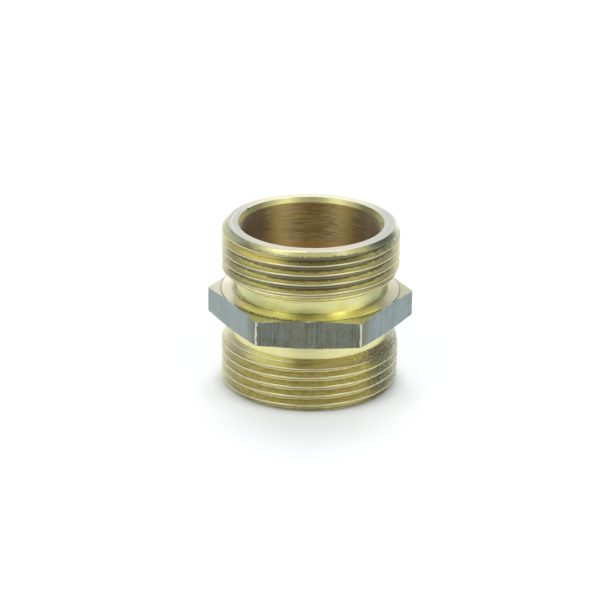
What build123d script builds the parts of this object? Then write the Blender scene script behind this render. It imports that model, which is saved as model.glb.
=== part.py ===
from build123d import *

import math
import os

# Hex nipple: a one-piece brass pipe connector with a male G 1 1/4 thread on each end.  It is turned from
# hexagonal bar.  Millimetres, +Z up along the pipe axis.  The origin is the centre of the lower end face.
# Two flats of the hexagon face -Y and +Y.

# Overall sizes
overall_length = 39.6
across_flats = 42.0
bore_diameter = 33.0

# G 1 1/4 parallel pipe thread, right-hand, 11 threads per inch, 55 degree flanks
thread_major_diameter = 41.91
thread_pitch = 25.4 / 11
thread_flank_angle = 27.5
thread_crest_flat = thread_pitch / 6
thread_root_flat = thread_pitch / 6
thread_crest_height = 0.45  # a crest's height above mid-length on the -Y side

# Relief neck between each thread and the hexagon
neck_diameter = 37.2
neck_fillet = 0.15
shoulder_start = 7.15  # distances of the shoulder cone from mid-length
shoulder_end = 8.7

# Hexagon collar, heights measured from the collar's own middle
hex_middle_offset = -0.16  # the collar sits a little below mid-length
hex_corner_half_height = 2.92
hex_chamfer_angle = 8.0
hex_corner_rounding = 0.3
washer_face_diameter = 42.3
washer_face_step = 0.05
washer_face_angle = 18.0

# Chamfers at both ends
end_face_outer_diameter = 39.3
end_chamfer_height = 1.05
bore_mouth_diameter = 34.4
bore_chamfer_depth = 1.15

# Margins that let cutting shapes run past the metal they cut, and the slack when edges are picked out
cut_margin = 1.0
groove_overshoot = 0.2
pick_tolerance = 0.01

# Derived sizes
thread_radius = thread_major_diameter / 2
neck_radius = neck_diameter / 2
bore_radius = bore_diameter / 2
washer_face_radius = washer_face_diameter / 2
mid_length = overall_length / 2
hex_middle = mid_length + hex_middle_offset
hex_corner_radius = across_flats / math.sqrt(3)
flank_slope = math.tan(math.radians(thread_flank_angle))
groove_width = thread_pitch - thread_crest_flat
thread_depth = (groove_width - thread_root_flat) / 2 / flank_slope
thread_root_radius = thread_radius - thread_depth


def face_height(radius):
    """Half height of the hexagon collar at a radius: an outer chamfer cone and a raised washer face."""
    outer_slope = math.tan(math.radians(hex_chamfer_angle))
    ring_height = hex_corner_half_height + (hex_corner_radius - washer_face_radius) * outer_slope
    if radius >= washer_face_radius:
        return hex_corner_half_height + (hex_corner_radius - radius) * outer_slope
    washer_slope = math.tan(math.radians(washer_face_angle))
    return ring_height + washer_face_step + (washer_face_radius - radius) * washer_slope


def turned_profile_side(direction):
    """Outline points of one turned end, from the collar's middle to the end face."""
    return [
        (neck_radius, hex_middle),
        (neck_radius, mid_length + direction * shoulder_start),
        (thread_radius, mid_length + direction * shoulder_end),
        (thread_radius, mid_length + direction * (mid_length - end_chamfer_height)),
        (end_face_outer_diameter / 2, mid_length + direction * mid_length),
    ]


def turned_ends():
    """Both threaded ends before threading, with their relief necks, as one solid of revolution."""
    lower = turned_profile_side(-1)
    upper = turned_profile_side(1)
    outline = [(0, 0)] + lower[::-1] + upper[1:] + [(0, overall_length)]
    profile = make_face(Polyline([(x, 0, z) for x, z in outline], close=True))
    return revolve(profile, Axis.Z)


def collar_envelope():
    """Solid of revolution that gives the hexagon its chamfered corners and raised washer faces."""
    outer_radius = hex_corner_radius + cut_margin
    half = [
        (outer_radius, face_height(outer_radius)),
        (washer_face_radius, face_height(washer_face_radius)),
        (washer_face_radius, face_height(washer_face_radius) + washer_face_step),
        (neck_radius - cut_margin, face_height(neck_radius - cut_margin)),
    ]
    upper = [(x, 0, hex_middle + height) for x, height in half]
    lower = [(x, 0, hex_middle - height) for x, height in reversed(half)]
    return revolve(make_face(Polyline(upper + lower, close=True)), Axis.Z)


def hexagon_collar():
    """Hexagon of bar stock with rounded corners, two flats facing -Y and +Y."""
    blank_height = 2 * face_height(neck_radius - cut_margin)
    outline = RegularPolygon(hex_corner_radius, 6)
    blank = extrude(Pos(0, 0, hex_middle - blank_height / 2) * outline, blank_height)
    blank = fillet(blank.edges().filter_by(Axis.Z), hex_corner_rounding)
    return blank & collar_envelope()


def neck_roots(body):
    """The two circles where the relief necks meet the washer faces."""
    height = face_height(neck_radius)
    circles = body.edges().filter_by(GeomType.CIRCLE)
    on_neck = [edge for edge in circles if abs(edge.radius - neck_radius) < pick_tolerance]
    return [edge for edge in on_neck if abs(abs(edge.center().Z - hex_middle) - height) < pick_tolerance]


def groove_turn(start):
    """One turn of the thread's helical groove, starting at a height on the +X side."""
    path = Pos(0, 0, start) * Helix(thread_pitch, thread_pitch, thread_radius)
    outer_half = groove_width / 2 + groove_overshoot * flank_slope
    outline = [
        (thread_root_radius, 0, start - thread_root_flat / 2),
        (thread_root_radius, 0, start + thread_root_flat / 2),
        (thread_radius + groove_overshoot, 0, start + outer_half),
        (thread_radius + groove_overshoot, 0, start - outer_half),
    ]
    return sweep(make_face(Polyline(outline, close=True)), path=path, is_frenet=True)


def groove_starts(lowest, highest):
    """Start heights of the turns that cover a stretch of thread, all on one helix."""
    quarter_turn_rise = thread_pitch / 4
    crest_at_x = mid_length + thread_crest_height + quarter_turn_rise
    groove_at_x = crest_at_x + thread_pitch / 2
    first = math.floor((lowest - groove_at_x) / thread_pitch)
    last = math.ceil((highest - groove_at_x) / thread_pitch)
    return [groove_at_x + turn * thread_pitch for turn in range(first, last)]


def bore():
    """The through bore with a chamfer at each mouth, as the solid that is cut away."""
    mouth_radius = bore_mouth_diameter / 2
    mouth_slope = (mouth_radius - bore_radius) / bore_chamfer_depth
    outer_radius = mouth_radius + cut_margin * mouth_slope
    outline = [
        (0, -cut_margin),
        (outer_radius, -cut_margin),
        (bore_radius, bore_chamfer_depth),
        (bore_radius, overall_length - bore_chamfer_depth),
        (outer_radius, overall_length + cut_margin),
        (0, overall_length + cut_margin),
    ]
    return revolve(make_face(Polyline([(x, 0, z) for x, z in outline], close=True)), Axis.Z)


def nipple_body():
    """The whole nipple, one piece of brass."""
    body = turned_ends() + hexagon_collar()
    body = fillet(neck_roots(body), neck_fillet)
    lower_starts = groove_starts(-cut_margin, mid_length - shoulder_start)
    upper_starts = groove_starts(mid_length + shoulder_start, overall_length + cut_margin)
    for start in lower_starts + upper_starts:
        body = body - groove_turn(start)
    return body - bore()


os.makedirs("parts", exist_ok=True)
part = nipple_body()
solid = part.solids()[0]
print("solids", len(part.solids()), "valid", solid.is_valid, "volume", round(solid.volume, 1))
export_step(solid, "parts/nipple_body.step")
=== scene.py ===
"""Looks of a brass hex nipple: a finely meshed body, its procedural metals, and a soft studio set."""

import math

import bpy
import numpy as np
from mathutils import Matrix, Vector


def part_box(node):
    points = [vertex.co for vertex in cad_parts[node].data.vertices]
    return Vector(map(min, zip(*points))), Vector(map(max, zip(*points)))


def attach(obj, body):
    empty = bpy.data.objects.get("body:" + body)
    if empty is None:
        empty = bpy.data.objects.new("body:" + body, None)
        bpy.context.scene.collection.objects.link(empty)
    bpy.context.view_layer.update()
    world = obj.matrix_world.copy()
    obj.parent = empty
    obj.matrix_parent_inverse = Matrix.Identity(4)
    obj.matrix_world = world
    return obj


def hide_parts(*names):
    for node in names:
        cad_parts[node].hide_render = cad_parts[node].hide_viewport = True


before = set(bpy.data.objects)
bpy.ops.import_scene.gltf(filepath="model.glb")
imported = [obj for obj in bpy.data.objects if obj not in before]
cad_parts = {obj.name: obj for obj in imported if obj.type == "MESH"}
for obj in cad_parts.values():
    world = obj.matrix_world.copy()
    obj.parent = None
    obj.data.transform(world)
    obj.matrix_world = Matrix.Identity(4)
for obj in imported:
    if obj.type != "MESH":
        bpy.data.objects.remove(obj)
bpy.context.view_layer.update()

# ---------------------------------------------------------------------------------------------
# Sizes, in millimetres, with the CAD body's own box as the source of the overall ones
# ---------------------------------------------------------------------------------------------
MM = 0.001
box_low, box_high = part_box("nipple_body")
LENGTH = (box_high.z - box_low.z) / MM
ACROSS_FLATS = (box_high.y - box_low.y) / MM
MID = LENGTH / 2

# G 1 1/4 pipe thread; CREST_HEIGHT is a crest's height above mid-length on the -Y side
THREAD_RADIUS = 41.91 / 2
PITCH = 25.4 / 11
FLANK_SLOPE = math.tan(math.radians(27.5))
CREST_FLAT = PITCH / 6
ROOT_FLAT = PITCH / 6
ROOT_RADIUS = THREAD_RADIUS - (PITCH - CREST_FLAT - ROOT_FLAT) / 2 / FLANK_SLOPE
CREST_HEIGHT = 0.45

# Relief necks and the shoulders where the threads begin, as distances from mid-length
NECK_RADIUS = 18.6
SHOULDER_START = 7.15
SHOULDER_END = 8.7

# Hexagon collar, with its heights from its own middle
SIXTH = math.pi / 3
HEX_MIDDLE = MID - 0.16
HEX_CORNER_RADIUS = ACROSS_FLATS / math.sqrt(3)
HEX_CORNER_HALF_HEIGHT = 2.92
HEX_CHAMFER_SLOPE = math.tan(math.radians(8.0))
HEX_CORNER_ROUNDING = 0.3
CORNER_CENTRE = (ACROSS_FLATS / 2 - HEX_CORNER_ROUNDING) / math.cos(math.pi / 6)
CORNER_HALF_ANGLE = math.atan2(
    HEX_CORNER_ROUNDING / 2,
    CORNER_CENTRE + HEX_CORNER_ROUNDING * math.cos(math.pi / 6),
)
WASHER_RADIUS = 42.3 / 2
WASHER_STEP = 0.05
WASHER_SLOPE = math.tan(math.radians(18.0))
RING_HEIGHT = HEX_CORNER_HALF_HEIGHT + (HEX_CORNER_RADIUS - WASHER_RADIUS) * HEX_CHAMFER_SLOPE
NECK_FOOT = RING_HEIGHT + WASHER_STEP + (WASHER_RADIUS - NECK_RADIUS) * WASHER_SLOPE

# Both ends, and the bore
FACE_OUTER_RADIUS = 39.3 / 2
END_CHAMFER_HEIGHT = 1.05
END_CHAMFER_SLOPE = (THREAD_RADIUS - FACE_OUTER_RADIUS) / END_CHAMFER_HEIGHT
CHAMFER_EDGE = MID - END_CHAMFER_HEIGHT
BORE_RADIUS = 16.5
MOUTH_RADIUS = 34.4 / 2
BORE_CHAMFER_DEPTH = 1.15

# Edge roundings left by the tools
CREST_ROUNDING = 0.2
ROOT_ROUNDING = 0.2
EDGE_ROUNDING = 0.07
NECK_FILLET = 0.15

# How finely the body is meshed: columns all round, more of them across each corner of the hexagon (as
# shares of its half angle), the least angle between columns, and straight steps in each rounded edge
COLUMNS = 400
CORNER_COLUMNS = (-1.0, -0.6, -0.2, 0.2, 0.6, 1.0)
LEAST_COLUMN_GAP = 0.003
ARC_STEPS = 3

# An outline's shortest edge in mm, the least turn that is rounded, the share of an edge that one rounding
# may use, and how closely two radii count as the same
SHORTEST_EDGE = 1e-4
LEAST_TURN = 0.01
LARGEST_ROUNDED_SHARE = 0.42
SLACK = 0.01


# ---------------------------------------------------------------------------------------------
# Outline of the body in one half plane
# ---------------------------------------------------------------------------------------------
def thread_radius_at(z, crest):
    """Radius of the 55 degree thread at a height, given the height of any one crest."""
    offset = abs((z - crest + PITCH / 2) % PITCH - PITCH / 2)
    return max(ROOT_RADIUS, THREAD_RADIUS - max(0.0, offset - CREST_FLAT / 2) / FLANK_SLOPE)


def radius_on_line(points, z):
    """Radius at height z on a line through (radius, height) points that rise in height."""
    return float(np.interp(z, [p[1] for p in points], [p[0] for p in points]))


def threaded_outline(envelope, crest):
    """Corners of the envelope with the thread cut into it, from low to high."""
    low, high = envelope[0][1], envelope[-1][1]
    breaks = [p[1] for p in envelope]
    first = math.floor((low - crest) / PITCH) - 1
    last = math.ceil((high - crest) / PITCH) + 1
    for turn in range(first, last + 1):
        middle = crest + turn * PITCH
        for edge in (CREST_FLAT / 2, PITCH / 2 - ROOT_FLAT / 2):
            breaks += [middle - edge, middle + edge]
    breaks = sorted(z for z in set(breaks) if low <= z <= high)
    gaps = [radius_on_line(envelope, z) - thread_radius_at(z, crest) for z in breaks]
    corners = []
    for i, z in enumerate(breaks):
        corners.append((min(radius_on_line(envelope, z), thread_radius_at(z, crest)), z))
        if i + 1 < len(breaks) and gaps[i] * gaps[i + 1] < 0:
            share = gaps[i] / (gaps[i] - gaps[i + 1])
            crossing = z + share * (breaks[i + 1] - z)
            corners.append((radius_on_line(envelope, crossing), crossing))
    return corners


def hexagon_radius(angle):
    """Radius of the rounded hexagon at an angle, and the outward direction of its side there."""
    flat_angle = round((angle - math.pi / 6) / SIXTH) * SIXTH + math.pi / 6
    from_flat = angle - flat_angle
    corner_angle = flat_angle + math.copysign(math.pi / 6, from_flat)
    from_corner = angle - corner_angle
    if abs(from_corner) > CORNER_HALF_ANGLE:
        return ACROSS_FLATS / 2 / math.cos(from_flat), flat_angle
    reach = math.sqrt(HEX_CORNER_ROUNDING**2 - (CORNER_CENTRE * math.sin(from_corner)) ** 2)
    radius = CORNER_CENTRE * math.cos(from_corner) + reach
    x = radius * math.cos(from_corner) - CORNER_CENTRE
    y = radius * math.sin(from_corner)
    return radius, corner_angle + math.atan2(y, x)


def collar_outline(radius):
    """Upper half of the collar: (radius, height above its middle), from the rim in to the neck."""
    washer_top = RING_HEIGHT + WASHER_STEP
    if radius > WASHER_RADIUS + WASHER_STEP:
        rim = [
            (radius, HEX_CORNER_HALF_HEIGHT + (HEX_CORNER_RADIUS - radius) * HEX_CHAMFER_SLOPE),
            (WASHER_RADIUS + WASHER_STEP / 2, RING_HEIGHT),
            (WASHER_RADIUS, washer_top),
        ]
    else:
        rim = [(radius, washer_top + (WASHER_RADIUS - radius) * WASHER_SLOPE)]
    return rim + [(NECK_RADIUS, NECK_FOOT)]


def column_outline(angle):
    """Corners of the closed outline at one angle, as (radius, height, part), from the lower end face up
    the outside and down the bore.  With them come the hexagon's radius and its side's direction there."""
    crest = MID + CREST_HEIGHT + PITCH * (angle + math.pi / 2) / (2 * math.pi)
    hex_radius, hex_side = hexagon_radius(angle)
    half_collar = collar_outline(hex_radius)
    lower_envelope = [
        (FACE_OUTER_RADIUS, 0.0),
        (THREAD_RADIUS, END_CHAMFER_HEIGHT),
        (THREAD_RADIUS, MID - SHOULDER_END),
        (NECK_RADIUS, MID - SHOULDER_START),
    ]
    upper_envelope = [
        (NECK_RADIUS, MID + SHOULDER_START),
        (THREAD_RADIUS, MID + SHOULDER_END),
        (THREAD_RADIUS, LENGTH - END_CHAMFER_HEIGHT),
        (FACE_OUTER_RADIUS, LENGTH),
    ]
    corners = [(r, z, "thread") for r, z in threaded_outline(lower_envelope, crest)]
    corners += [(r, HEX_MIDDLE - h, "collar") for r, h in reversed(half_collar)]
    corners += [(r, HEX_MIDDLE + h, "collar") for r, h in half_collar]
    corners += [(r, z, "thread") for r, z in threaded_outline(upper_envelope, crest)]
    corners += [
        (MOUTH_RADIUS, LENGTH, "bore"),
        (BORE_RADIUS, LENGTH - BORE_CHAMFER_DEPTH, "bore"),
        (BORE_RADIUS, BORE_CHAMFER_DEPTH, "bore"),
        (MOUTH_RADIUS, 0.0, "bore"),
    ]
    return corners, hex_radius, hex_side


def rounding_for(part, radius, hex_radius, convex):
    """Radius of the small rounding at a corner of the outline."""
    if part == "thread":
        return CREST_ROUNDING if convex else ROOT_ROUNDING
    if part == "collar" and abs(radius - NECK_RADIUS) < SLACK:
        return NECK_FILLET
    if part == "collar" and radius < hex_radius - SLACK:
        return WASHER_STEP / 2
    return EDGE_ROUNDING


def turned_by(vector, angle):
    """A 2-D vector turned anticlockwise by an angle."""
    cosine, sine = math.cos(angle), math.sin(angle)
    return np.array([vector[0] * cosine - vector[1] * sine, vector[0] * sine + vector[1] * cosine])


def rounded_column(angle):
    """Vertices and normals of one column: the outline with each corner turned into a small arc."""
    corners, hex_radius, hex_side = column_outline(angle)
    points = np.array([(r, z) for r, z, _ in corners])
    keep = np.linalg.norm(points - np.roll(points, 1, axis=0), axis=1) > SHORTEST_EDGE
    corners = [c for c, k in zip(corners, keep) if k]
    points = points[keep]
    before = points - np.roll(points, 1, axis=0)
    after = np.roll(before, -1, axis=0)
    before_length = np.linalg.norm(before, axis=1)
    after_length = np.linalg.norm(after, axis=1)
    radial = np.array([math.cos(angle), math.sin(angle)])
    side = np.array([math.cos(hex_side), math.sin(hex_side)])
    vertices, normals = [], []
    for i, (r, z, part) in enumerate(corners):
        arriving = before[i] / before_length[i]
        leaving = after[i] / after_length[i]
        turn = math.atan2(arriving[0] * leaving[1] - arriving[1] * leaving[0], arriving @ leaving)
        if abs(turn) < LEAST_TURN:
            continue
        outward = 1 if turn > 0 else -1
        half_turn = math.tan(abs(turn) / 2)
        rounding = rounding_for(part, r, hex_radius, turn > 0)
        longest = LARGEST_ROUNDED_SHARE * min(before_length[i], after_length[i])
        reach = min(rounding * half_turn, longest)
        rounding = reach / half_turn
        first_normal = np.array([arriving[1], -arriving[0]])
        centre = points[i] - arriving * reach - outward * first_normal * rounding
        on_rim = part == "collar" and abs(r - hex_radius) < SLACK
        for step in range(ARC_STEPS + 1):
            share = step / ARC_STEPS
            normal = turned_by(first_normal, turn * share)
            vertices.append(centre + outward * normal * rounding)
            to_side = (share if z < HEX_MIDDLE else 1 - share) if on_rim else 0.0
            plan = radial * (1 - to_side) + side * to_side
            plan = plan / np.linalg.norm(plan)
            normals.append((normal[0] * plan[0], normal[0] * plan[1], normal[1]))
    return np.array(vertices), np.array(normals)


def column_angles():
    """Even angles all round, with extra ones through each rounded corner of the hexagon."""
    full = 2 * math.pi
    even = [full * i / COLUMNS for i in range(COLUMNS)]
    extra = [SIXTH * corner + CORNER_HALF_ANGLE * s for corner in range(6) for s in CORNER_COLUMNS]

    def is_clear(angle):
        return all(abs((angle - e + math.pi) % full - math.pi) > LEAST_COLUMN_GAP for e in extra)

    return sorted(angle % full for angle in [a for a in even if is_clear(a)] + extra)


def stitch(left, right):
    """Triangles between two closed columns of (radius, height) points, by the shorter diagonal."""
    pairs = []
    i, j = 0, 0
    n, m = len(left), len(right)
    while i < n or j < m:
        a, b = left[i % n], right[j % m]
        next_a, next_b = left[(i + 1) % n], right[(j + 1) % m]
        step_left = i < n and (j >= m or np.hypot(*(next_a - b)) <= np.hypot(*(a - next_b)))
        if step_left:
            pairs.append(("left", i % n, (i + 1) % n, j % m))
            i += 1
        else:
            pairs.append(("right", i % n, j % m, (j + 1) % m))
            j += 1
    return pairs


# The body's material slots, in order
TURNED, THREADED, DRAWN, BORED = 0, 1, 2, 3

# How far off a surface a triangle's middle may lie and still belong to it, in mm: a plain surface, one
# with a rounded edge, and one that ends in a corner.  Then how far a flat's normal may tip from level.
OFF_PLAIN = 0.02
OFF_ROUNDED = 0.04
OFF_CORNER = 0.1
LARGEST_TIP = 0.5


def surface_kind(coords, triangle):
    """Which finish a triangle has: turned, thread-cut, a drawn flat of the hexagon, or bored.  The parts
    of a groove that run out through an end chamfer lie below the chamfer's cone, and are thread-cut."""
    a, b, c = (Vector(coords[i]) / MM for i in triangle)
    normal = (b - a).cross(c - a).normalized()
    middle = (a + b + c) / 3
    radius = math.hypot(middle.x, middle.y)
    from_middle = abs(middle.z - MID)
    if radius < BORE_RADIUS + OFF_PLAIN:
        return BORED
    on_flat = radius > ACROSS_FLATS / 2 - OFF_CORNER and abs(normal.z) < LARGEST_TIP
    if from_middle < SHOULDER_START and on_flat:
        return DRAWN
    past_edge = max(0.0, from_middle - MID + END_CHAMFER_HEIGHT)
    cone_radius = THREAD_RADIUS - past_edge * END_CHAMFER_SLOPE
    on_chamfer = past_edge > 0.0 and radius > cone_radius - OFF_ROUNDED
    on_end_face = from_middle > MID - OFF_PLAIN
    past_neck = from_middle > SHOULDER_START + OFF_CORNER and radius > NECK_RADIUS
    return THREADED if past_neck and not on_end_face and not on_chamfer else TURNED


def body_mesh():
    """The whole body as one closed mesh with exact normals."""
    angles = column_angles()
    columns = [rounded_column(a) for a in angles]
    starts = np.cumsum([0] + [len(points) for points, _ in columns])
    coords, normals, triangles = [], [], []
    for angle, (points, column_normals) in zip(angles, columns):
        coords += [(r * math.cos(angle) * MM, r * math.sin(angle) * MM, z * MM) for r, z in points]
        normals += [tuple(normal) for normal in column_normals]
    for k in range(len(columns)):
        following = (k + 1) % len(columns)
        for kind, a, b, c in stitch(columns[k][0], columns[following][0]):
            if kind == "left":
                triangles.append((starts[k] + a, starts[following] + c, starts[k] + b))
            else:
                triangles.append((starts[k] + a, starts[following] + b, starts[following] + c))
    mesh = bpy.data.meshes.new("nipple_surface")
    mesh.from_pydata(coords, [], triangles)
    mesh.polygons.foreach_set("use_smooth", [True] * len(mesh.polygons))
    mesh.polygons.foreach_set("material_index", [surface_kind(coords, t) for t in triangles])
    mesh.normals_split_custom_set_from_vertices(normals)
    mesh.update()
    return mesh


# ---------------------------------------------------------------------------------------------
# Nodes
# ---------------------------------------------------------------------------------------------
# The share of the radius that counts as height for tool rings, the colour of the pale haze, and the part
# of a turn that lays highlights across the tool marks
RADIUS_SHARE = 1.31
SHEEN_TINT = (1.0, 0.97, 0.93)
QUARTER_TURN = 0.25


class Nodes:
    """Short calls for the nodes of one node tree.  A value is a number, a colour or another output."""

    def __init__(self, tree):
        self.tree = tree

    def new(self, kind):
        return self.tree.nodes.new("ShaderNode" + kind)

    def link(self, source, target):
        self.tree.links.new(source, target)

    def put(self, socket, value):
        if isinstance(value, (int, float)):
            socket.default_value = value
        elif isinstance(value, tuple):
            socket.default_value = value + (1.0,)
        else:
            self.link(value, socket)

    def axes_of(self, output):
        node = self.new("SeparateXYZ")
        self.link(output, node.inputs[0])
        return node.outputs

    def math(self, operation, *values):
        node = self.new("Math")
        node.operation = operation
        for socket, value in zip(node.inputs, values):
            self.put(socket, value)
        return node.outputs[0]

    def times(self, *values):
        product = values[0]
        for value in values[1:]:
            product = self.math("MULTIPLY", product, value)
        return product

    def plus(self, *values):
        total = values[0]
        for value in values[1:]:
            total = self.math("ADD", total, value)
        return total

    def minus(self, first, second):
        return self.math("SUBTRACT", first, second)

    def size_of(self, value):
        return self.math("ABSOLUTE", value)

    def larger(self, first, second):
        return self.math("MAXIMUM", first, second)

    def span(self, value, low, high, to_low=0.0, to_high=1.0, kind="SMOOTHSTEP"):
        """value mapped from low..high to to_low..to_high, held at the ends."""
        node = self.new("MapRange")
        node.interpolation_type = kind
        limits = {"Value": value, "From Min": low, "From Max": high, "To Min": to_low, "To Max": to_high}
        for name, number in limits.items():
            self.put(node.inputs[name], number)
        return node.outputs[0]

    def below(self, value, low, high):
        """1 up to low, falling to 0 at high."""
        return self.span(value, low, high, 1.0, 0.0)

    def near(self, value, middle, reach):
        """1 where value is at middle, falling to 0 at reach from it."""
        return self.below(self.size_of(self.minus(value, middle)), 0.0, reach)

    def mix(self, share, first, second):
        """first where share is 0, second where it is 1."""
        node = self.new("Mix")
        node.data_type = "RGBA"
        self.put(node.inputs[0], share)
        self.put(node.inputs[6], first)
        self.put(node.inputs[7], second)
        return node.outputs[2]


class Metal(Nodes):
    """A metal's material.  Its places are outputs: x, y, z, radius, and the heights from_middle, off
    mid-length, and from_collar, off the collar's middle, are in mm.  around_x and around_y are the direction
    from the axis, each from -1 to 1, with around_y -1 at the front; sideways is around_x without its sign."""

    def __init__(self, name):
        self.material = bpy.data.materials.new(name)
        self.material.use_nodes = True
        super().__init__(self.material.node_tree)
        self.shader = self.tree.nodes["Principled BSDF"]
        self.shader.inputs["Metallic"].default_value = 1.0
        place = self.new("TexCoord")
        axes = self.axes_of(place.outputs["Object"])
        self.x, self.y, self.z = (self.times(axes[i], 1 / MM) for i in range(3))
        self.radius = self.math("SQRT", self.plus(self.times(self.x, self.x), self.times(self.y, self.y)))
        self.around_x = self.math("DIVIDE", self.x, self.radius)
        self.around_y = self.math("DIVIDE", self.y, self.radius)
        self.sideways = self.size_of(self.around_x)
        self.from_middle = self.size_of(self.minus(self.z, MID))
        self.from_collar = self.size_of(self.minus(self.z, HEX_MIDDLE))

    def noise(self, vector, detail, roughness):
        join = self.new("CombineXYZ")
        for socket, value in zip(join.inputs, vector):
            self.put(socket, value)
        node = self.new("TexNoise")
        node.inputs["Scale"].default_value = 1.0
        node.inputs["Detail"].default_value = detail
        node.inputs["Roughness"].default_value = roughness
        self.link(join.outputs[0], node.inputs["Vector"])
        return node.outputs[0]

    def grain(self, across, along, detail=2.0, roughness=0.5, shift=0.0):
        """Noise in x, y and z: across is marks per mm in plan, along is marks per mm of height."""
        x, y = self.times(self.x, across), self.times(self.y, across)
        return self.noise((self.plus(x, shift), y, self.times(self.z, along)), detail, roughness)

    def rings(self, along, around, detail=2.0, roughness=0.5):
        """Noise in rings about the axis: along is marks per mm down the wall, around is marks per radian.
        RADIUS_SHARE of the radius is added to the height, so that flat faces have rings as well."""
        length = self.plus(self.z, self.times(self.radius, RADIUS_SHARE))
        plan = (self.times(self.around_x, around), self.times(self.around_y, around))
        return self.noise(plan + (self.times(length, along),), detail, roughness)

    def dull_side(self, ragged):
        """A strip up the right-hand side where the surface is pitted and grey, with a ragged outline."""
        along_x = self.times(self.around_x, math.cos(DULL_SIDE_ANGLE))
        along_y = self.times(self.around_y, math.sin(DULL_SIDE_ANGLE))
        nearness = self.plus(along_x, along_y, self.times(self.minus(ragged, 0.5), 0.09))
        return self.span(nearness, 0.965, 1.005)

    def spot(self, point, reach):
        """1 at a point, falling to 0 at reach from it."""
        offsets = (self.minus(a, b) for a, b in zip((self.x, self.y, self.z), point))
        squares = [self.math("POWER", offset, 2.0) for offset in offsets]
        return self.below(self.math("SQRT", self.plus(*squares)), 0.3 * reach, reach)

    def above_crest(self):
        """Height in mm above the nearest crest of the thread, below it being negative."""
        turned = self.plus(self.math("ARCTAN2", self.y, self.x), math.pi / 2)
        crest = self.plus(self.times(turned, PITCH / (2 * math.pi)), MID + CREST_HEIGHT - PITCH / 2)
        within_turn = self.math("FLOORED_MODULO", self.minus(self.z, crest), PITCH)
        return self.minus(within_turn, PITCH / 2)

    def facing_down(self):
        """1 where the surface faces clearly down."""
        normal = self.new("NewGeometry").outputs["Normal"]
        return self.below(self.axes_of(normal)[2], -0.35, -0.1)

    def stretch_gloss_around(self):
        """Highlights stretched across the tool marks, which run round the axis."""
        node = self.new("Tangent")
        node.direction_type = "RADIAL"
        node.axis = "Z"
        self.link(node.outputs[0], self.shader.inputs["Tangent"])

    def bump(self, height, depth):
        node = self.new("Bump")
        node.inputs["Strength"].default_value = 1.0
        node.inputs["Distance"].default_value = depth * MM
        self.link(height, node.inputs["Height"])
        self.link(node.outputs[0], self.shader.inputs["Normal"])

    def finish(self, colour, roughness, anisotropy, bloom=0.0):
        """The finished material; bloom is the pale haze that a handled metal shows at a glancing angle."""
        self.put(self.shader.inputs["Base Color"], colour)
        self.put(self.shader.inputs["Roughness"], roughness)
        self.shader.inputs["Anisotropic"].default_value = anisotropy
        self.shader.inputs["Anisotropic Rotation"].default_value = QUARTER_TURN
        self.shader.inputs["Sheen Weight"].default_value = bloom
        self.shader.inputs["Sheen Roughness"].default_value = 0.3
        self.put(self.shader.inputs["Sheen Tint"], SHEEN_TINT)
        return self.material


# ---------------------------------------------------------------------------------------------
# Metals.  A tint's place on the body is the product of spans; its strength is the last factor.
# ---------------------------------------------------------------------------------------------
# Where the pitted strip lies, from +X, and the marks that are placed one by one, in mm
DULL_SIDE_ANGLE = math.radians(-32.0)
BORE_NICK = (-15.1, 8.2, LENGTH)
CHAMFER_NICK = (14.8, -14.7, LENGTH - 1.1)

# Turned faces: brass, its film, and the ends
YELLOW_BRASS = (0.74, 0.68, 0.30)
OLIVE_BRASS = (0.66, 0.64, 0.27)
ROSE_FILM = (0.78, 0.66, 0.50)
RING_SHADE = (0.50, 0.47, 0.24)
DULL_GREY = (0.34, 0.36, 0.27)
RIM_OLIVE = (0.54, 0.54, 0.27)
# Painted dark reflection on the sides of the end chamfers
RIM_SIDE_REFLECTION = (0.44, 0.48, 0.37)
CHIP = (0.12, 0.115, 0.07)
FOOT_SHADE = (0.30, 0.29, 0.17)
FACE_ROSE = (0.65, 0.59, 0.49)
FACE_GREY = (0.53, 0.53, 0.49)
FACE_CREAM = (0.80, 0.76, 0.60)
NICK = (0.12, 0.13, 0.09)

# Collar and necks
LAND_ROSE = (0.60, 0.58, 0.48)
LAND_GREY = (0.37, 0.37, 0.31)
# Painted highlights on the fronts of the land and cone, and a painted dark reflection at the cone's front
# middle
LAND_FRONT_HIGHLIGHT = (0.74, 0.72, 0.41)
CONE_FRONT_HIGHLIGHT = (0.99, 0.95, 0.46)
CONE_DARK_REFLECTION = (0.58, 0.57, 0.22)
CONE_ROSE = (0.72, 0.67, 0.55)
CONE_GREY = (0.47, 0.46, 0.39)
# Painted shade in the collar's two inner corners
NECK_FOOT_SHADE = (0.10, 0.09, 0.05)
WASHER_CORNER_SHADE = (0.05, 0.045, 0.03)
# Painted shade at the front of the neck
NECK_FRONT_SHADE = (0.36, 0.37, 0.14)
NECK_PALE = (0.86, 0.80, 0.46)
# Painted highlights and dark reflections round the upper neck
GILT_HIGHLIGHT = (1.0, 0.93, 0.36)
NECK_DARK_REFLECTION = (0.34, 0.37, 0.19)
NECK_PALE_HIGHLIGHT = (0.84, 0.82, 0.60)

# Thread
# Painted shade in the roots and under the crests, with some dirt in the roots
SHADE_AND_GRIME = (0.16, 0.145, 0.10)
THREAD_YELLOW = (0.80, 0.71, 0.36)
THREAD_OLIVE = (0.72, 0.70, 0.36)
THREAD_ROSE = (0.76, 0.61, 0.44)
THREAD_RING = (0.50, 0.42, 0.20)
THREAD_GLINT = (0.88, 0.84, 0.52)
LOWER_SHADE = (0.50, 0.46, 0.24)
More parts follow.
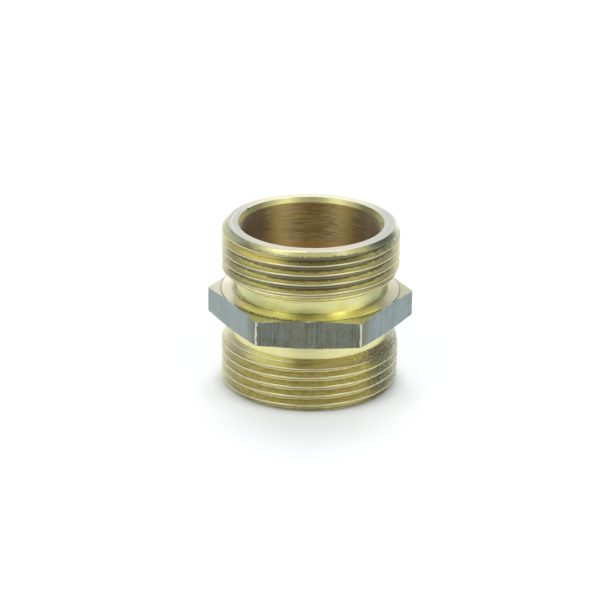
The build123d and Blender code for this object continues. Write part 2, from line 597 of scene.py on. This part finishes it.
# Painted highlight on the flanks, and painted pale sheen at the far sides
LIT_FLANK = (1.0, 0.98, 0.57)
FAR_SHEEN_LOWER = (0.90, 0.87, 0.66)
FAR_SHEEN_UPPER = (0.80, 0.78, 0.62)
FIRST_TURN_SHADE = (0.28, 0.25, 0.14)
DULL_THREAD = (0.32, 0.33, 0.25)
SHOULDER_PALE = (0.80, 0.77, 0.58)
# Painted dark reflection on the lower shoulder
SHOULDER_DARK_REFLECTION = (0.35, 0.28, 0.165)
FAR_RIGHT_GREY = (0.56, 0.57, 0.46)
PIT = (0.16, 0.155, 0.11)
PIT_EDGE = (0.84, 0.82, 0.68)
SPECK = (0.14, 0.13, 0.09)
WORN_CREST = (0.78, 0.72, 0.46)
# Painted shade along the crests' lower edges
CREST_EDGE_SHADE = (0.14, 0.125, 0.08)
TOP_LEFT_GOLD = (0.74, 0.63, 0.29)
# Painted highlight along the roots
ROOT_HIGHLIGHT = (0.80, 0.75, 0.46)
RUN_OUT_FRONT = (0.65, 0.62, 0.30)
# Painted dark reflection on the sides of the run-out
RUN_OUT_SIDE_REFLECTION = (0.50, 0.52, 0.34)

# Skin of the drawn bar
OXIDE_DARK = (0.11, 0.122, 0.10)
OXIDE_BROWN = (0.22, 0.215, 0.145)
STREAK_DARK = (0.06, 0.07, 0.06)
STREAK_LIGHT = (0.32, 0.32, 0.23)
OXIDE_BLUE = (0.17, 0.215, 0.205)
OXIDE_OLIVE = (0.20, 0.19, 0.12)
# Side flats: bluer skin, paler with painted light
LEFT_FLAT_LIT = (0.33, 0.40, 0.39)
RIGHT_FLAT_LIT = (0.27, 0.35, 0.36)
CLOUD = (0.35, 0.37, 0.40)
FLAT_SPECK = (0.42, 0.42, 0.30)
WORN_EDGE = (0.68, 0.67, 0.52)

# Bore
BORE_YELLOW = (0.66, 0.54, 0.26)
BORE_RING = (0.35, 0.265, 0.12)
BORE_COPPER = (0.64, 0.44, 0.20)
BORE_SCRATCH = (0.80, 0.74, 0.52)
BORE_DEEP = (0.80, 0.52, 0.19)
# Painted highlight streaks up the bore's walls
BORE_STREAK_HIGHLIGHT = (0.66, 0.52, 0.18)
BORE_LEFT = (0.66, 0.58, 0.52)
BORE_RIGHT = (0.98, 0.90, 0.80)


def turned_surface(n, fine, ragged):
    """Yellow brass in soft patches, under a rosy film, with tool rings and a dull side."""
    patches = n.grain(across=0.30, along=0.30, detail=3.0)
    film = n.grain(across=0.22, along=0.4, shift=37.0)
    colour = n.mix(n.span(patches, 0.35, 0.65), YELLOW_BRASS, OLIVE_BRASS)
    colour = n.mix(n.span(film, 0.52, 0.66, 0.0, 0.3), colour, ROSE_FILM)
    colour = n.mix(n.span(fine, 0.45, 0.65, 0.0, 0.4), colour, RING_SHADE)
    dull = n.times(n.dull_side(ragged), n.span(n.from_middle, SHOULDER_START, SHOULDER_END))
    return n.mix(n.times(dull, 0.75), colour, DULL_GREY)


def end_tints(n, colour, ragged, outside):
    """The chamfers and faces at both ends, with chips along the upper chamfer and two larger nicks."""
    on_rim = n.times(n.span(n.from_middle, CHAMFER_EDGE, CHAMFER_EDGE + 0.1), outside)
    # Painted dark reflection on the sides of the end chamfers
    rim_side_reflection = n.times(on_rim, n.span(n.sideways, 0.6, 0.8))
    chipped = n.plus(n.radius, n.times(n.minus(ragged, 0.5), 0.9))
    upper_front = n.times(n.span(n.z, MID, MID + 1.0), n.below(n.around_y, -0.8, -0.6))
    chips = n.times(n.span(chipped, THREAD_RADIUS - 0.295, THREAD_RADIUS - 0.195), on_rim, upper_front)
    foot = n.times(n.below(n.z, END_CHAMFER_HEIGHT - 0.05, END_CHAMFER_HEIGHT + 0.05), outside)
    colour = n.mix(n.times(on_rim, 0.35), colour, RIM_OLIVE)
    colour = n.mix(n.times(rim_side_reflection, 0.7), colour, RIM_SIDE_REFLECTION)
    colour = n.mix(n.times(chips, 0.85), colour, CHIP)
    colour = n.mix(n.times(foot, 0.8), colour, FOOT_SHADE)
    end_face = n.span(n.from_middle, MID - 0.04, MID - 0.01)
    face_tint = n.mix(n.span(n.around_y, -0.9, -0.5), FACE_ROSE, FACE_GREY)
    face_tint = n.mix(n.span(n.around_y, 0.3, 0.9), face_tint, FACE_CREAM)
    colour = n.mix(end_face, colour, face_tint)
    nicks = n.plus(n.spot(BORE_NICK, 0.6), n.spot(CHAMFER_NICK, 0.5))
    return n.mix(n.times(nicks, n.span(ragged, 0.35, 0.5)), colour, NICK)


def collar_tints(n, colour, on_land, on_cone):
    """The flat land and the raised cone of the collar: rosy and grey at the sides; in front a painted
    highlight, with a painted dark reflection at the middle of the cone.
    """
    front = n.below(n.around_y, -0.7, -0.3)
    land_tint = n.mix(n.span(n.around_x, -0.3, 0.8), LAND_ROSE, LAND_GREY)
    # Painted highlight on the land's front
    land_tint = n.mix(front, land_tint, LAND_FRONT_HIGHLIGHT)
    colour = n.mix(n.times(on_land, 0.7), colour, land_tint)
    # Painted highlight on the cone's front, and a painted dark reflection at its middle
    colour = n.mix(n.times(on_cone, front, 0.9), colour, CONE_FRONT_HIGHLIGHT)
    olive = n.times(on_cone, front, n.near(n.around_x, -0.04, 0.2))
    colour = n.mix(n.times(olive, 0.6), colour, CONE_DARK_REFLECTION)
    cone_ends = n.times(on_cone, n.span(n.sideways, 0.7, 0.9))
    end_tint = n.mix(n.span(n.around_x, -0.3, 0.3), CONE_ROSE, CONE_GREY)
    return n.mix(n.times(cone_ends, 0.8), colour, end_tint)


def corner_shade(n, colour, ragged, on_collar):
    """Painted shade in the two inner corners of the collar: round the neck's foot and round the washer face.
    """
    edge = n.span(ragged, 0.3, 0.6, 0.4, 1.0)
    left_edge = n.times(edge, n.span(n.around_x, -0.1, 0.4, 1.0, 0.1))
    wobble = n.times(n.minus(ragged, 0.5), 0.15)
    neck_ring = n.near(n.plus(n.from_collar, n.times(wobble, 0.5)), NECK_FOOT - 0.03, 0.07)
    front_left = n.times(n.below(n.around_x, -0.3, 0.1), n.below(n.around_y, -0.7, -0.5))
    washer_reach = n.span(front_left, 0.0, 1.0, 0.25, 0.8)
    washer_ring = n.times(n.near(n.plus(n.radius, wobble), WASHER_RADIUS, washer_reach), on_collar)
    colour = n.mix(n.times(neck_ring, left_edge, 0.9), colour, NECK_FOOT_SHADE)
    return n.mix(n.times(washer_ring, edge, 0.95), colour, WASHER_CORNER_SHADE)


def neck_shade(n, colour, on_neck):
    """Painted shade at the front of the neck, olive in tone and deepest at its foot."""
    rising = n.span(n.from_collar, NECK_FOOT, NECK_FOOT + 2.5, 1.0, 0.35)
    shade = n.times(on_neck, rising, n.near(n.around_x, -0.02, 0.4), n.below(n.around_y, -0.9, -0.8))
    return n.mix(n.times(shade, 0.95), colour, NECK_FRONT_SHADE)


def neck_tints(n, colour, on_neck):
    """The lower neck's pale film; round the upper neck, painted golden and pale highlights and dark
    reflections.
    """
    low_neck = n.times(on_neck, n.below(n.z, MID - 1.0, MID))
    high_neck = n.times(on_neck, n.span(n.z, MID, MID + 1.0))
    colour = n.mix(n.times(low_neck, 0.35), colour, NECK_PALE)
    gilt_highlight = n.times(n.near(n.around_x, 0.5, 0.38), n.below(n.from_collar, NECK_FOOT + 0.2, NECK_FOOT + 2.2))
    dark_side_reflections = n.plus(n.times(n.near(n.around_x, -0.68, 0.3), 0.55), n.near(n.around_x, 0.83, 0.25))
    far_left_highlight = n.below(n.around_x, -0.97, -0.84)
    colour = n.mix(n.times(gilt_highlight, high_neck, 0.8), colour, GILT_HIGHLIGHT)
    colour = n.mix(n.times(dark_side_reflections, high_neck, 0.8), colour, NECK_DARK_REFLECTION)
    return n.mix(n.times(far_left_highlight, high_neck, 0.8), colour, NECK_PALE_HIGHLIGHT)


def turned_brass():
    """Turned faces, chamfers, necks and collar: rings from the tool under a thin, patchy, tinted film, with
    painted highlights, reflections and shade in places.
    """
    n = Metal("turned_brass")
    fine = n.rings(along=7.0, around=1.0, detail=3.0, roughness=0.6)
    broad = n.rings(along=0.8, around=1.5)
    ragged = n.grain(across=1.6, along=1.6, detail=3.0, shift=11.0)
    outside = n.span(n.radius, NECK_RADIUS - 0.2, NECK_RADIUS)
    on_neck = n.times(n.below(n.radius, NECK_RADIUS + 0.05, NECK_RADIUS + 0.15), outside)
    on_collar = n.below(n.from_collar, NECK_FOOT - 0.05, NECK_FOOT + 0.05)
    on_land = n.times(on_collar, n.span(n.radius, WASHER_RADIUS - 0.1, WASHER_RADIUS + 0.1))
    on_cone = n.times(n.minus(on_collar, on_land), n.span(n.radius, NECK_RADIUS, NECK_RADIUS + 0.2))
    colour = turned_surface(n, fine, ragged)
    colour = end_tints(n, colour, ragged, outside)
    colour = collar_tints(n, colour, on_land, on_cone)
    colour = neck_shade(n, colour, on_neck)
    colour = corner_shade(n, colour, ragged, on_collar)
    colour = neck_tints(n, colour, on_neck)
    mouth = n.below(n.radius, MOUTH_RADIUS, MOUTH_RADIUS + 0.1)
    duller_places = n.plus(n.times(on_cone, 0.06), n.times(on_land, 0.08), n.times(mouth, 0.15))
    roughness = n.plus(n.span(broad, 0.3, 0.7, 0.18, 0.30), duller_places)
    n.bump(fine, 0.006)
    n.stretch_gloss_around()
    return n.finish(colour, roughness, anisotropy=0.5, bloom=0.15)


def thread_surface(n, rings, blotches, upper):
    """Bare brass of the flanks: blotches, a rosy film, and tool rings darker and lighter than it."""
    film = n.grain(across=0.22, along=0.3, shift=23.0)
    colour = n.mix(n.span(blotches, 0.38, 0.62), THREAD_YELLOW, THREAD_OLIVE)
    colour = n.mix(n.span(film, 0.5, 0.68, 0.0, 0.55), colour, THREAD_ROSE)
    colour = n.mix(n.span(rings, 0.42, 0.62, 0.0, 0.6), colour, THREAD_RING)
    colour = n.mix(n.span(rings, 0.30, 0.42, 0.4, 0.0), colour, THREAD_GLINT)
    return n.mix(n.span(upper, 0.0, 1.0, 0.25, 0.0), colour, LOWER_SHADE)


def cut_thread():
    """Thread flanks: torn by the die, worn along the crests, with painted highlights, and painted shade in
    the roots of the upper thread, which are also grimy.
    """
    n = Metal("cut_thread")
    torn = n.grain(across=3.0, along=0.5, detail=3.0, roughness=0.65)
    rings = n.rings(along=3.2, around=11.0, detail=4.0, roughness=0.7)
    blotches = n.grain(across=0.9, along=0.9, detail=3.0, roughness=0.6)
    specks = n.grain(across=4.0, along=4.0, roughness=0.6)
    pits = n.grain(across=2.3, along=2.3, detail=3.0, roughness=0.7, shift=9.0)
    wobble = n.plus(n.span(torn, 0.35, 0.65, -0.3, 0.3), n.span(blotches, 0.35, 0.65, -0.15, 0.15))

    # Places: the thread it is on, the height within the turn, and how far round
    upper = n.span(n.z, MID - 8.0, MID + 8.0)
    lower_half = n.below(n.z, MID - 1.0, MID)
    above = n.above_crest()
    in_groove = n.span(n.from_middle, SHOULDER_END - 0.5, SHOULDER_END + 0.3)
    off_centre = n.span(n.sideways, 0.1, 0.6)
    off_side = n.plus(n.below(n.around_x, -0.65, -0.25), n.span(n.around_x, 0.75, 0.95))
    far_side = n.span(n.sideways, 0.70, 0.92)
    top_left = n.times(n.span(n.z, LENGTH - 3.3, LENGTH - 2.6), n.below(n.around_x, -0.5, -0.1))
    # How much of the painted shade and dirt is kept: less at the top left
    darkening_kept = n.span(top_left, 0.0, 1.0, 1.0, 0.45)

    # The flanks, with a painted highlight off the centre line and a painted pale sheen at the far sides
    colour = thread_surface(n, rings, blotches, upper)
    lit = n.times(n.span(off_centre, 0.0, 1.0, 0.35, 0.85), upper, n.span(above, 0.1, 0.3))
    colour = n.mix(n.times(lit, n.span(far_side, 0.0, 1.0, 1.0, 0.2)), colour, LIT_FLANK)
    far_sheen = n.mix(upper, FAR_SHEEN_LOWER, FAR_SHEEN_UPPER)
    colour = n.mix(n.times(far_side, 0.45), colour, far_sheen)

    # Painted shade with some dirt at the foot of each flank and in the root, and painted shade on the first
    # turn
    less_aside = n.plus(n.times(off_side, -0.12), n.times(off_centre, -0.10))
    flank_foot = n.span(n.plus(above, n.times(wobble, 0.4), less_aside), 0.56, 0.70)
    depth = n.larger(flank_foot, n.below(above, -0.98, -0.90))
    root_shade_and_grime = n.times(depth, in_groove, n.span(upper, 0.0, 1.0, 0.1, 0.85))
    colour = n.mix(n.times(root_shade_and_grime, darkening_kept), colour, SHADE_AND_GRIME)
    first_turn = n.times(n.span(n.z, LENGTH - 4.2, LENGTH - 2.6), n.below(n.around_y, -0.9, -0.6))
    first_turn = n.times(first_turn, n.span(n.around_x, -0.45, 0.05, 0.0, 0.6))
    colour = n.mix(first_turn, colour, FIRST_TURN_SHADE)

    # The dull strip, the lower shoulder with its brown patch of painted dark reflection, and the pits in both
    low_or_top = n.plus(lower_half, n.span(n.z, LENGTH - 4.0, LENGTH - 2.5))
    dull = n.times(n.dull_side(blotches), low_or_top)
    shoulder = n.times(n.below(n.from_middle, SHOULDER_END - 0.1, SHOULDER_END + 0.2), lower_half)
    brown = n.times(shoulder, n.span(n.around_x, -0.35, -0.1))
    far_right = n.times(n.span(n.around_x, 0.84, 0.97), low_or_top)
    pitted = n.larger(dull, n.times(shoulder, n.span(n.around_x, 0.3, 0.75)))
    pitted = n.larger(pitted, n.times(far_right, 0.6))
    colour = n.mix(n.times(dull, 0.45), colour, DULL_THREAD)
    colour = n.mix(n.times(shoulder, 0.5), colour, SHOULDER_PALE)
    colour = n.mix(n.times(brown, 0.85), colour, SHOULDER_DARK_REFLECTION)
    colour = n.mix(n.times(far_right, 0.7), colour, FAR_RIGHT_GREY)
    colour = n.mix(n.times(pitted, n.span(pits, 0.50, 0.60, 0.0, 0.8)), colour, PIT)
    colour = n.mix(n.times(pitted, n.span(pits, 0.36, 0.46, 0.7, 0.0)), colour, PIT_EDGE)
    colour = n.mix(n.span(specks, 0.64, 0.70, 0.0, 0.7), colour, SPECK)

    # The worn crest, painted shade at its lower edge and on the flank under it, and a painted root highlight
    crest_radius = n.plus(n.radius, n.times(wobble, 0.05))
    crest = n.span(crest_radius, THREAD_RADIUS - 0.07, THREAD_RADIUS - 0.02)
    crest_edge_shade = n.times(crest, n.below(above, -0.10, 0.02), in_groove)
    under = n.times(n.facing_down(), n.span(above, -0.8, -0.35, 0.2, 1.0), in_groove)
    under = n.times(under, n.span(upper, 0.0, 1.0, 0.25, 0.85), darkening_kept)
    root_highlight = n.times(n.near(above, -1.0, 0.13), in_groove, upper)
    colour = n.mix(n.times(crest, n.span(upper, 0.0, 1.0, 0.5, 0.85)), colour, WORN_CREST)
    colour = n.mix(n.times(crest_edge_shade, n.span(upper, 0.0, 1.0, 0.1, 0.95)), colour, CREST_EDGE_SHADE)
    colour = n.mix(under, colour, SHADE_AND_GRIME)
    colour = n.mix(n.times(top_left, 0.5), colour, TOP_LEFT_GOLD)
    colour = n.mix(n.times(root_highlight, n.span(off_centre, 0.0, 1.0, 0.1, 0.65)), colour, ROOT_HIGHLIGHT)

    # Where a groove runs out through the upper chamfer it has the chamfer's colours, with painted dark
    # reflection at the sides
    past_edge = n.span(n.z, LENGTH - END_CHAMFER_HEIGHT - 0.1, LENGTH - END_CHAMFER_HEIGHT + 0.1)
    rim_tint = n.mix(n.span(n.sideways, 0.6, 0.8), RUN_OUT_FRONT, RUN_OUT_SIDE_REFLECTION)
    colour = n.mix(n.times(past_edge, 0.9), colour, rim_tint)

    roughness = n.plus(n.span(n.plus(root_shade_and_grime, dull), 0.0, 1.0, 0.25, 0.45), n.times(far_side, 0.2))
    n.bump(n.plus(n.times(torn, 0.5), rings, n.times(pitted, specks)), 0.015)
    n.stretch_gloss_around()
    return n.finish(colour, roughness, anisotropy=0.4, bloom=0.2)


def drawn_brass():
    """The skin of the drawn bar on the hexagon's flats: grey oxide with streaks along the bar."""
    n = Metal("drawn_brass")
    streaks = n.grain(across=2.6, along=0.03, detail=4.0, roughness=0.75)
    fine = n.grain(across=5.5, along=0.4, detail=3.0, roughness=0.75, shift=43.0)
    blotches = n.grain(across=0.6, along=0.5, detail=5.0, roughness=0.65)
    brown = n.grain(across=0.4, along=0.1, detail=3.0, shift=29.0)
    bands = n.grain(across=0.45, along=0.05, detail=3.0, shift=61.0)
    clouds = n.grain(across=0.35, along=0.35, detail=4.0, shift=83.0)
    specks = n.grain(across=4.0, along=4.0, shift=5.0)
    colour = n.mix(n.span(streaks, 0.40, 0.60), OXIDE_DARK, OXIDE_BROWN)
    colour = n.mix(n.span(fine, 0.46, 0.60, 0.0, 0.5), colour, STREAK_DARK)
    colour = n.mix(n.span(fine, 0.34, 0.44, 0.45, 0.0), colour, STREAK_LIGHT)
    colour = n.mix(n.span(blotches, 0.42, 0.62, 0.0, 0.6), colour, OXIDE_BLUE)
    colour = n.mix(n.span(brown, 0.45, 0.6, 0.0, 0.5), colour, OXIDE_OLIVE)

    # The four flats at the sides are bluer in their skin than those at the front and back, and paler with
    # painted light
    side = n.span(n.sideways, 0.5, 0.7)
    side_tint = n.mix(n.span(n.around_x, -0.3, 0.3), LEFT_FLAT_LIT, RIGHT_FLAT_LIT)
    colour = n.mix(n.times(side, n.span(bands, 0.35, 0.65, 0.6, 0.8)), colour, side_tint)
    colour = n.mix(n.times(side, n.span(clouds, 0.44, 0.58), 0.3), colour, CLOUD)
    colour = n.mix(n.span(specks, 0.60, 0.72, 0.0, 0.6), colour, FLAT_SPECK)

    # Bright wear on the hexagon's corners, and on the rims above and below the flats
    wobble = n.span(n.grain(across=1.5, along=1.5, detail=3.0, shift=17.0), 0.3, 0.7, -0.07, 0.07)
    corner = n.span(n.plus(n.radius, wobble), HEX_CORNER_RADIUS - 0.19, HEX_CORNER_RADIUS - 0.12)
    rim_height = HEX_CORNER_HALF_HEIGHT + HEX_CORNER_RADIUS * HEX_CHAMFER_SLOPE
    to_rim = n.plus(n.from_collar, n.times(n.radius, HEX_CHAMFER_SLOPE), n.times(wobble, 2.0))
    at_rim = n.span(to_rim, rim_height - 0.22, rim_height - 0.08)
    rim_wear = n.times(at_rim, n.span(bands, 0.45, 0.6, 0.1, 0.8))
    colour = n.mix(n.times(n.larger(corner, rim_wear), 0.85), colour, WORN_EDGE)
    n.bump(n.plus(streaks, n.times(blotches, 0.5)), 0.03)
    return n.finish(colour, n.span(streaks, 0.3, 0.7, 0.34, 0.48), anisotropy=0.0)


def bored_brass():
    """The bore: browner, duller brass with fine rings from the boring tool."""
    n = Metal("bored_brass")
    fine = n.rings(along=3.4, around=3.5, detail=4.0, roughness=0.75)
    blotches = n.grain(across=0.16, along=0.16, detail=3.0)
    scratches = n.rings(along=3.0, around=2.0, detail=3.0, roughness=0.7)
    colour = n.mix(n.span(fine, 0.39, 0.61), BORE_YELLOW, BORE_RING)
    colour = n.mix(n.span(blotches, 0.42, 0.62, 0.0, 0.6), colour, BORE_COPPER)
    colour = n.mix(n.span(scratches, 0.57, 0.66, 0.0, 0.6), colour, BORE_SCRATCH)
    deep = n.below(n.plus(n.z, n.times(scratches, 0.6)), LENGTH - 10.9, LENGTH - 10.4)
    colour = n.mix(n.times(deep, 0.6), colour, BORE_DEEP)
    # Painted highlight streaks part way round each side of the bore
    colour = n.mix(n.times(n.near(n.sideways, 0.48, 0.2), 0.6), colour, BORE_STREAK_HIGHLIGHT)
    side_tint = n.mix(n.span(n.around_x, -0.3, 0.3), BORE_LEFT, BORE_RIGHT)
    colour = n.mix(n.times(n.span(n.sideways, 0.6, 0.85), 0.8), colour, side_tint)
    n.bump(n.plus(fine, n.times(scratches, 0.5)), 0.012)
    n.stretch_gloss_around()
    return n.finish(colour, 0.5, anisotropy=0.95)


# ---------------------------------------------------------------------------------------------
# Camera and studio
# ---------------------------------------------------------------------------------------------
# Angles in radians, lengths in mm.  The offsets are how far the object's middle lies from the view's centre.
CAMERA_AZIMUTH = math.radians(1.031)
CAMERA_ELEVATION = 0.38802
CAMERA_DISTANCE = 591.10
CAMERA_ROLL = 0.011876
FOCAL_LENGTH = 149.682
SENSOR_WIDTH = 36.0
OFFSET_RIGHT = 2.4015
OFFSET_UP = -0.0032

# The floor's reach each way in metres, its colour, and its faint glow, faded out at the object's foot as
# painted shadow
FLOOR_REACH = 3.0
FLOOR_COLOUR = (0.93, 0.94, 0.95)
FLOOR_GLOW_COLOUR = (0.95, 1.0, 1.02)
FLOOR_GLOW = 0.2
GLOW_START = FACE_OUTER_RADIUS * MM
GLOW_END = THREAD_RADIUS * 1.12 * MM

# The room's brightness, with a bright low horizon behind the object up to HORIZON_TOP, the sine of its height
ROOM_COLOUR = (0.96, 1.0, 0.98)
ROOM_FRONT = 0.09
ROOM_BACK = 0.2
HORIZON_TOP = 0.2
HORIZON_GLOW = 0.8

# name, azimuth and elevation in degrees, distance, width and height in metres, brightness, colour
WHITE = (1.0, 1.0, 1.0)
COOL_WHITE = (0.97, 1.0, 1.0)
SOFT_BOXES = (
    ("back_box", 180, 20, 1.1, 1.4, 0.9, 0.87, WHITE),
    ("left_box", -50, 20, 1.0, 1.1, 0.65, 0.85, COOL_WHITE),
    ("right_box", 50, 20, 1.0, 1.1, 0.65, 0.88, COOL_WHITE),
    ("top_box", 0, 78, 1.0, 1.8, 1.6, 0.55, WHITE),
    ("key_box", 180, 62, 1.0, 0.6, 0.6, 3.0, (0.96, 1.0, 1.02)),
    ("left_strip", -57, 55, 1.0, 0.32, 0.4, 2.3, WHITE),
    ("right_strip", 57, 55, 1.0, 0.32, 0.4, 2.3, WHITE),
)


def toward(azimuth, elevation):
    """Unit direction, angles in radians: azimuth from the front, growing to the right; elevation up."""
    level = math.cos(elevation)
    return Vector((math.sin(azimuth) * level, -math.cos(azimuth) * level, math.sin(elevation)))


def add_camera():
    away = toward(CAMERA_AZIMUTH, CAMERA_ELEVATION)
    right = Vector((math.cos(CAMERA_AZIMUTH), math.sin(CAMERA_AZIMUTH), 0))
    up = away.cross(right)
    rolled_right = right * math.cos(CAMERA_ROLL) + up * math.sin(CAMERA_ROLL)
    rolled_up = up * math.cos(CAMERA_ROLL) - right * math.sin(CAMERA_ROLL)
    place = Vector((0, 0, MID)) + away * CAMERA_DISTANCE
    place -= rolled_right * OFFSET_RIGHT + rolled_up * OFFSET_UP
    data = bpy.data.cameras.new("photo_camera")
    data.sensor_width = SENSOR_WIDTH
    data.lens = FOCAL_LENGTH
    data.clip_start = 0.01
    camera = bpy.data.objects.new("photo_camera", data)
    axes = Matrix((rolled_right, rolled_up, away)).transposed().to_4x4()
    camera.matrix_world = Matrix.Translation(place * MM) @ axes
    bpy.context.scene.collection.objects.link(camera)
    bpy.context.scene.camera = camera


def add_soft_box(name, azimuth, elevation, distance, width, height, brightness, colour):
    """A soft box that faces the object; brightness is what it looks like in a mirror, 1 being white."""
    data = bpy.data.lights.new(name, "AREA")
    data.shape = "RECTANGLE"
    data.size = width
    data.size_y = height
    data.energy = brightness * math.pi * width * height
    data.color = colour
    lamp = bpy.data.objects.new(name, data)
    direction = toward(math.radians(azimuth), math.radians(elevation))
    lamp.location = Vector((0, 0, MID * MM)) + direction * distance
    lamp.rotation_euler = (-direction).to_track_quat("-Z", "Y").to_euler()
    lamp.visible_camera = False
    bpy.context.scene.collection.objects.link(lamp)


def add_floor():
    """A pale floor that glows faintly, so that it stays white around the object's own shadow; the glow fades
    out at the object's foot, a painted shadow there.
    """
    mesh = bpy.data.meshes.new("floor")
    corners = [(x * FLOOR_REACH, y * FLOOR_REACH, 0) for x, y in ((-1, -1), (1, -1), (1, 1), (-1, 1))]
    mesh.from_pydata(corners, [], [(0, 1, 2, 3)])
    floor = bpy.data.objects.new("floor", mesh)
    bpy.context.scene.collection.objects.link(floor)
    material = bpy.data.materials.new("pale_floor")
    material.use_nodes = True
    n = Nodes(material.node_tree)
    shader = n.tree.nodes["Principled BSDF"]
    distance = n.new("VectorMath")
    distance.operation = "LENGTH"
    n.link(n.new("TexCoord").outputs["Object"], distance.inputs[0])
    glow = n.span(distance.outputs["Value"], GLOW_START, GLOW_END, 0.0, FLOOR_GLOW, "LINEAR")
    n.put(shader.inputs["Base Color"], FLOOR_COLOUR)
    n.put(shader.inputs["Emission Color"], FLOOR_GLOW_COLOUR)
    n.put(shader.inputs["Emission Strength"], glow)
    shader.inputs["Roughness"].default_value = 0.9
    mesh.materials.append(material)


def add_world():
    """Dim at the front, bright at the back, as in a room with one white wall."""
    world = bpy.data.worlds.new("studio")
    world.use_nodes = True
    n = Nodes(world.node_tree)
    axes = n.axes_of(n.new("TexCoord").outputs["Generated"])
    room = n.span(axes[1], -0.6, 0.2, ROOM_FRONT, ROOM_BACK, "LINEAR")
    low = n.below(axes[2], HORIZON_TOP - 0.08, HORIZON_TOP + 0.08)
    horizon = n.times(low, n.span(axes[1], 0.2, 0.45, 0.0, HORIZON_GLOW, "LINEAR"))
    background = n.tree.nodes["Background"]
    n.put(background.inputs["Strength"], n.larger(horizon, room))
    n.put(background.inputs["Color"], ROOM_COLOUR)
    bpy.context.scene.world = world


def add_body():
    """The body's own mesh, which stands for the CAD node, with a metal for each slot."""
    body = bpy.data.objects.new("nipple", body_mesh())
    for metal in (turned_brass(), cut_thread(), drawn_brass(), bored_brass()):
        body.data.materials.append(metal)
    bpy.context.scene.collection.objects.link(body)
    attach(body, "root")
    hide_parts("nipple_body")


add_camera()
add_body()
add_floor()
add_world()
for soft_box in SOFT_BOXES:
    add_soft_box(*soft_box)
bpy.context.scene.view_settings.view_transform = "Standard"
